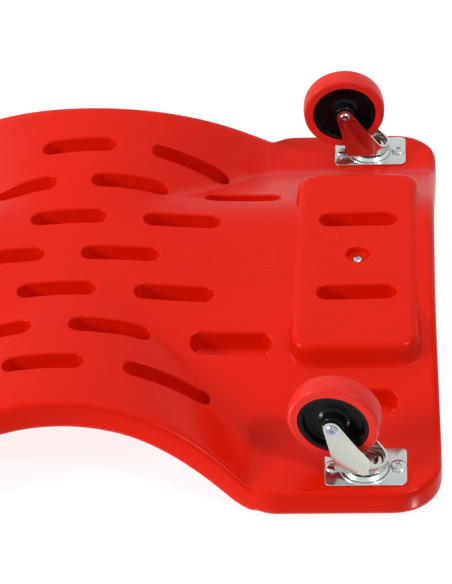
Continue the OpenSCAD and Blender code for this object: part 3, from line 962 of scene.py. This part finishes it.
    def build_circles(self, material: Material) -> None:
        """Model the plain circles that the mould leaves on the underside.

        Args:
            material: the moulded plastic.
        """
        for number, (x, y) in enumerate(self.circles):
            ring = new_mesh(f"mould_circle_{number + 1}", bpy.ops.mesh.primitive_torus_add,
                            location=(x, y, 0), major_radius=self.circle_radius,
                            minor_radius=self.circle_bead, major_segments=72, minor_segments=8)
            settle(ring)
            points = points_of(ring)
            points[:, 2] += self.form.under(points[:, 0], points[:, 1])
            move_points(ring, points)
            smooth(ring, 60)
            hand_in(ring, ROOT, "deck", material)


# The headrest

@dataclass(frozen=True)
class Headrest:
    """The padded headrest: a vinyl cover drawn over foam, with a welt round its upper edge."""

    shrink: float = 1.2 * MM
    voxel: float = 4.5 * MM
    rest_gap: float = 0.2 * MM
    swollen_gap: float = 0.1 * MM
    pressure: float = 4.0
    frames: int = 20
    reach: float = 6 * MM
    welt_radius: float = 1.5 * MM
    welt_height: float = 17 * MM
    welt_points: int = 96
    ray_start: float = 1.5

    def build_pad(self, material: Material) -> Object:
        """Model the pad, let its cover swell, and finish it.

        Args:
            material: the grained vinyl.

        Returns:
            The pad, which stands for the frame's cushion.
        """
        pad = skin_of("headrest_cushion", "headrest_pad")
        apply_modifier(pad, "REMESH", mode="VOXEL", voxel_size=self.voxel, use_smooth_shade=True)
        apply_modifier(pad, "SMOOTH", factor=0.5, iterations=3)
        low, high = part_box("headrest_cushion")
        middle = np.array((low + high) / 2)
        size = np.array(high - low)
        rest = middle + (points_of(pad) - middle) * (1 - 2 * self.shrink / size)
        rest[:, 2] = np.maximum(rest[:, 2], low.z + self.rest_gap)
        move_points(pad, rest)
        self.swell(pad, rest, low.z)
        apply_modifier(pad, "SUBSURF", levels=1, render_levels=1)
        take(pad)
        bpy.ops.object.shade_smooth()
        hand_in(pad, ROOT, "cushion", material, "headrest_cushion")
        return pad

    def swell(self, pad: Object, rest: np.ndarray, floor: float) -> None:
        """Swell the cover by its foam's pressure, as cloth.

        Args:
            pad: the cover.
            rest: its points before.
            floor: the height of the board that it lies on.
        """
        take(pad)
        cloth = pad.modifiers.new("cover", "CLOTH")
        cloth.settings.use_pressure = True
        cloth.settings.uniform_pressure_force = self.pressure
        cloth.settings.effector_weights.gravity = 0.0
        cloth.point_cache.frame_start = 1
        cloth.point_cache.frame_end = self.frames
        for number in range(1, self.frames + 1):
            bpy.context.scene.frame_set(number)
        bpy.ops.object.modifier_apply(modifier=cloth.name)
        bpy.context.scene.frame_set(1)
        step = points_of(pad) - rest
        far = np.linalg.norm(step, axis=1, keepdims=True)
        swollen = rest + step * np.minimum(1.0, self.reach / np.maximum(far, 1e-9))
        swollen[:, 2] = np.maximum(swollen[:, 2], floor + self.swollen_gap)
        move_points(pad, swollen)

    def build_welt(self, pad: Object, material: Material) -> None:
        """Model the welt that runs round the pad, on its surface.

        Args:
            pad: the finished pad.
            material: the grained vinyl.
        """
        low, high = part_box("headrest_cushion")
        middle = (low + high) / 2
        height = low.z + self.welt_height
        points = []
        for number in range(self.welt_points):
            angle = 2 * math.pi * number / self.welt_points
            outward = Vector((math.cos(angle) * (high.x - low.x),
                              math.sin(angle) * (high.y - low.y), 0))
            start = Vector((middle.x, middle.y, height)) + outward * self.ray_start
            hit, place, _, _ = pad.ray_cast(start, -outward.normalized())
            if hit:
                points.append(place)
        curve = bpy.data.curves.new("headrest_welt", "CURVE")
        curve.dimensions = "3D"
        curve.bevel_depth = self.welt_radius
        curve.bevel_resolution = 3
        line = curve.splines.new("NURBS")
        line.points.add(len(points) - 1)
        for point, place in zip(line.points, points):
            point.co = (*place, 1.0)
        line.use_cyclic_u = True
        line.order_u = 3
        take(new_object("headrest_welt", curve))
        bpy.ops.object.convert(target="MESH")
        welt = bpy.context.active_object
        smooth(welt, 60)
        hand_in(welt, ROOT, "cushion", material)


# The screws

@dataclass(frozen=True)
class DomeScrew:
    """A screw's domed head with a cross recess, seen from below.

    Its first copy is turned about its axis by the first turn and each further one by the step
    more, in radians.
    """

    name: str
    radius: float
    height: float
    rim: float = 0.5 * MM
    sides: int = 40
    steps: int = 5
    crown_turn: float = 80.0
    recess_width: float = 1.1 * MM
    recess_share: float = 1.15
    recess_depth: float = 1.5 * MM
    first_turn: float = 0.5
    turn_step: float = 0.0

    def build(self) -> Object:
        """Model the head with its flat side at the origin and its dome pointing down.

        Returns:
            The head.
        """
        head = new_mesh(self.name, bpy.ops.mesh.primitive_circle_add, vertices=self.sides,
                        radius=self.radius, fill_type="NGON")
        with editing(head):
            bpy.ops.mesh.extrude_region_move(TRANSFORM_OT_translate={"value": (0, 0, -self.rim)})
            before, depth = 1.0, self.rim
            for step in range(1, self.steps + 1):
                turn = math.radians(self.crown_turn) * step / self.steps
                share = math.cos(turn)
                fall = self.rim + (self.height - self.rim) * math.sin(turn)
                bpy.ops.mesh.extrude_region_move(
                    TRANSFORM_OT_translate={"value": (0, 0, depth - fall)})
                bpy.ops.transform.resize(value=(share / before, share / before, 1),
                                         center_override=(0, 0, -fall))
                before, depth = share, fall
        tidy_mesh(head)
        for turn in (0.0, math.pi / 2):
            bar = new_mesh("bar", bpy.ops.mesh.primitive_cube_add, size=1,
                           location=(0, 0, -self.height), rotation=(0, 0, turn),
                           scale=(self.radius * self.recess_share, self.recess_width,
                                  2 * self.recess_depth))
            settle(bar)
            cut(head, bar, "EXACT")
        tidy_mesh(head)
        smooth(head, 35)
        return head

    def set_in(self, places: list[Place], material: Material, node: str) -> None:
        """Set a head at every place, joined as one piece.

        Args:
            places: the middles of the heads' flat sides.
            material: the plated steel.
            node: the frame's part that they stand for.
        """
        pattern = self.build()
        heads = [pattern, *(new_object(self.name, pattern.data.copy()) for _ in places[1:])]
        for number, (head, place) in enumerate(zip(heads, places)):
            turn = Matrix.Rotation(self.turn_step * number + self.first_turn, 4, "Z")
            head.data.transform(Matrix.Translation(place) @ turn)
        hand_in(join_pieces(heads), ROOT, "bright_steel", material, node)


HEADREST_SCREW = DomeScrew("headrest_screw_head", 4.5 * MM, 2.6 * MM)
PLATE_SCREW = DomeScrew("plate_screw_heads", 6.7 * MM, 2.6 * MM, recess_share=0.85,
                        first_turn=0.4, turn_step=1.7)


# The casters

@dataclass(frozen=True)
class Caster:
    """One swivel caster at rest: its name, the place of its swivel and how far it is turned."""

    name: str
    x: float
    y: float
    turn: float
    trail: float = 22.8 * MM
    axle_z: float = 37 * MM
    plate_z: float = 86.6 * MM
    screw_reach: float = 25.8 * MM
    bead_radius: float = 19.8 * MM
    bead_width: float = 3.6 * MM
    bead_height: float = 1.0 * MM
    sheet_round: float = 0.35 * MM
    flat_angle: float = 0.5
    bend_angle: float = 40.0

    @property
    def axle(self) -> Place:
        """The middle of the wheel."""
        turn = math.radians(self.turn)
        return (self.x - self.trail * math.cos(turn), self.y - self.trail * math.sin(turn),
                self.axle_z)

    @property
    def screw_places(self) -> list[Place]:
        """The places of the plate's two screws, under the plate."""
        return [(self.x + side * self.screw_reach, self.y, self.plate_z) for side in (-1, 1)]

    def round_sheet(self, node: str, body: str, slot: str, material: Material) -> None:
        """Stand a pressed part in for one of the frame's, with the rounded edges of pressed sheet.

        Args:
            node: the last word of the part's name.
            body: the body that it moves with.
            slot: its material slot.
            material: its plating.
        """
        skin = skin_of(f"{self.name}_{node}", f"{self.name}_{node}_pressing")
        with editing(skin):
            bpy.ops.mesh.dissolve_limited(angle_limit=math.radians(self.flat_angle))
        apply_modifier(skin, "BEVEL", width=self.sheet_round, segments=2, limit_method="ANGLE",
                       angle_limit=math.radians(self.bend_angle), harden_normals=False)
        smooth(skin, 35)
        hand_in(skin, body, slot, material, f"{self.name}_{node}")

    def build_bead(self, material: Material) -> None:
        """Model the bead that is pressed into the plate round the ball race.

        Args:
            material: the plate's plating.
        """
        middle = (self.x, self.y, self.plate_z)
        bead = new_mesh(f"{self.name}_plate_bead", bpy.ops.mesh.primitive_torus_add,
                        location=middle, major_radius=self.bead_radius,
                        minor_radius=self.bead_width / 2, major_segments=64, minor_segments=14)
        with editing(bead):
            bpy.ops.transform.resize(value=(1, 1, 2 * self.bead_height / self.bead_width),
                                     center_override=middle)
        settle(bead)
        smooth(bead, 60)
        hand_in(bead, ROOT, "plate", material)

    def dress(self, paint: dict[str, Material], groups: dict[str, NodeTree]) -> None:
        """Finish every part of the caster.

        Args:
            paint: the materials by slot.
            groups: the shared node groups by name.
        """
        self.round_sheet("fork", f"{self.name}_caster", "fork", paint["fork"])
        self.round_sheet("plate", ROOT, "plate", paint["plate"])
        self.build_bead(paint["plate"])
        tread = replace(TREAD_RED, name=f"{self.name}_tread", centre=self.axle, turn=self.turn)
        dress_node(f"{self.name}_tyre", tread.build(groups))
        for node, slot in (("hub", "hub"), ("axle", "axle"), ("bush", "bright_steel"),
                           ("race_balls", "bright_steel"), ("kingpin", "bright_steel")):
            dress_node(f"{self.name}_{node}", paint[slot])


CASTERS = (
    Caster("head_left", 448 * MM, 210 * MM, 9.2), Caster("head_right", 448 * MM, -210 * MM, -3.8),
    Caster("mid_left", 0.0, 210 * MM, -5.0), Caster("mid_right", 0.0, -210 * MM, 7.0),
    Caster("foot_left", -448 * MM, 210 * MM, 4.0),
    Caster("foot_right", -448 * MM, -210 * MM, -8.0))


# The stage

@dataclass(frozen=True)
class Lamp:
    """A soft square lamp that points at the middle of the deck."""

    name: str
    place: Place
    power: float
    size: float
    mirrored: bool = True

    def build(self, group: str, side: Side) -> None:
        """Hang the lamp.

        Args:
            group: the word for its group of lamps.
            side: the side of the creeper that it lights.
        """
        name = f"lamp_{group}_{self.name}"
        data = bpy.data.lights.new(name, "AREA")
        data.shape = "SQUARE"
        data.size = self.size
        data.energy = self.power
        lamp = new_object(name, data)
        x, y, z = self.place
        lamp.location = (x, y, z * side.value)
        lamp.visible_glossy = self.mirrored
        lamp.rotation_euler = (-lamp.location).to_track_quat("-Z", "Y").to_euler()


@dataclass(frozen=True)
class Stage:
    """A pale table above and below the creeper, soft lamps and the camera."""

    floor_reach: float = 30.0
    floor_shade: float = 0.2
    floor_glow: float = 0.86
    top_z: float = 116.4 * MM
    camera_place: Place = (498 * MM, 1568 * MM, -1220.3 * MM)
    yaw: float = -6.26
    pitch: float = 39.49
    roll: float = -4.85
    lens_pixels: float = 2375.7
    frame_pixels: float = 584.0
    sensor: float = 36.0
    near_clip: float = 0.05
    far_clip: float = 50.0
    fill: float = 0.34
    side_height: float = 0.45
    over_height: float = 0.95
    mirror_side: float = 0.95
    mirror_over: float = 0.80
    lamps: tuple[Lamp, ...] = (Lamp("left", (-3.3, 1.5, 1.75), 118.0, 0.75),
                               Lamp("right", (2.1, 1.5, 2.6), 42.0, 0.42),
                               Lamp("over", (0.1, -1.0, 3.0), 48.0, 3.0, mirrored=False))

    def build_camera(self) -> None:
        """Set the camera at the photograph's viewing angle."""
        yaw, pitch, roll = (math.radians(a) for a in (self.yaw, self.pitch, self.roll))
        forward = Vector((math.sin(yaw) * math.cos(pitch), math.cos(yaw) * math.cos(pitch),
                          -math.sin(pitch)))
        level = Vector((math.cos(yaw), -math.sin(yaw), 0))
        right = level * math.cos(roll) + level.cross(forward) * math.sin(roll)
        up = right.cross(forward)
        flip = Matrix.Diagonal((1, -1, -1))
        turn = Matrix((flip @ right, flip @ up, flip @ -forward)).transposed()
        data = bpy.data.cameras.new("camera")
        data.sensor_width = self.sensor
        data.sensor_fit = "AUTO"
        data.lens = self.lens_pixels * self.sensor / self.frame_pixels
        data.clip_start, data.clip_end = self.near_clip, self.far_clip
        camera = new_object("camera", data)
        camera.matrix_world = Matrix.Translation(self.camera_place) @ turn.to_4x4()
        bpy.context.scene.camera = camera

    def build_floor(self, name: str, height: float, side: Side) -> None:
        """Lay one pale floor that shows only from the creeper's side.

        Args:
            name: its name.
            height: where it lies.
            side: the side of the creeper that it lies on.
        """
        floor = new_mesh(name, bpy.ops.mesh.primitive_plane_add, size=self.floor_reach,
                         location=(0, 0, height),
                         rotation=(math.pi if side is Side.TOP else 0, 0, 0))
        settle(floor)
        material = bpy.data.materials.new(name)
        sheet = sheet_of(material)
        light = sheet.add("LightPath")
        shape = sheet.add("NewGeometry")
        shown = sheet.add("Math", light.outputs["Is Camera Ray"], shape.outputs["Backfacing"],
                          operation="SUBTRACT", use_clamp=True)
        matte = sheet.add("BsdfDiffuse", Color=rgba((self.floor_shade,) * 3))
        glow = sheet.add("Emission", Color=(1, 1, 1, 1), Strength=self.floor_glow)
        pale = sheet.add("AddShader", matte.outputs[0], glow.outputs[0])
        clear = sheet.add("BsdfTransparent")
        mix = sheet.add("MixShader", shown.outputs[0], clear.outputs[0], pale.outputs[0])
        sheet.add("OutputMaterial", Surface=mix.outputs[0])
        floor.data.materials.append(material)

    def build_world(self) -> None:
        """Light the scene all round: white for the camera, and dimmer overhead in reflections."""
        world = bpy.data.worlds.new("studio")
        bpy.context.scene.world = world
        sheet = sheet_of(world)
        light = sheet.add("LightPath")
        parts = sheet.add("SeparateXYZ", Vector=sheet.add("TexCoord").outputs["Generated"])
        height = sheet.add("Math", parts.outputs["Z"], operation="ABSOLUTE")
        mirrored = sheet.add("MapRange", Value=height.outputs[0], From_Min=self.side_height,
                             From_Max=self.over_height, To_Min=self.mirror_side,
                             To_Max=self.mirror_over)
        soft = sheet.add("Mix", data_type="FLOAT", Factor=light.outputs["Is Glossy Ray"],
                         A=self.fill, B=mirrored.outputs["Result"])
        seen = sheet.add("Mix", data_type="FLOAT", Factor=light.outputs["Is Camera Ray"],
                         A=soft.outputs["Result"], B=1.0)
        sky = sheet.add("Background", Color=(1, 1, 1, 1), Strength=seen.outputs["Result"])
        sheet.add("OutputWorld", Surface=sky.outputs[0])

    def build(self) -> None:
        """Set up the whole stage."""
        self.build_camera()
        self.build_floor("floor_below", 0.0, Side.UNDER)
        self.build_floor("floor_above", self.top_z, Side.TOP)
        for group, side in (("photo", Side.UNDER), ("top", Side.TOP)):
            for lamp in self.lamps:
                lamp.build(group, side)
        self.build_world()
        bpy.context.scene.view_settings.view_transform = "Standard"


def main() -> None:
    """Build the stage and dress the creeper."""
    logging.basicConfig(level=logging.INFO, format="%(message)s")
    Stage().build()
    groups = {"grain": grain_group(), "highlit_worn_mask": highlit_worn_edges_group()}
    paint = {slot: finish.build(groups) for slot, finish in (
        ("deck", DECK_RED), ("cushion", VINYL), ("board", PLYWOOD), ("plate", PLATE_ZINC),
        ("fork", FORK_ZINC), ("bright_steel", BRIGHT_STEEL), ("axle", BLUED_ZINC),
        ("hub", HUB_BLACK))}
    deck = Deck()
    deck.build_skin(paint["deck"])
    deck.build_circles(paint["deck"])
    headrest = Headrest()
    pad = headrest.build_pad(paint["cushion"])
    headrest.build_welt(pad, paint["cushion"])
    dress_node("headrest_board", paint["board"])
    HEADREST_SCREW.set_in([(deck.form.seat_x, 0.0, deck.form.seat_z + deck.cup.depth)],
                          paint["bright_steel"], "headrest_screw")
    for caster in CASTERS:
        caster.dress(paint, groups)
    PLATE_SCREW.set_in([place for caster in CASTERS for place in caster.screw_places],
                       paint["bright_steel"], "plate_screws")


if __name__ == "__main__":
    main()
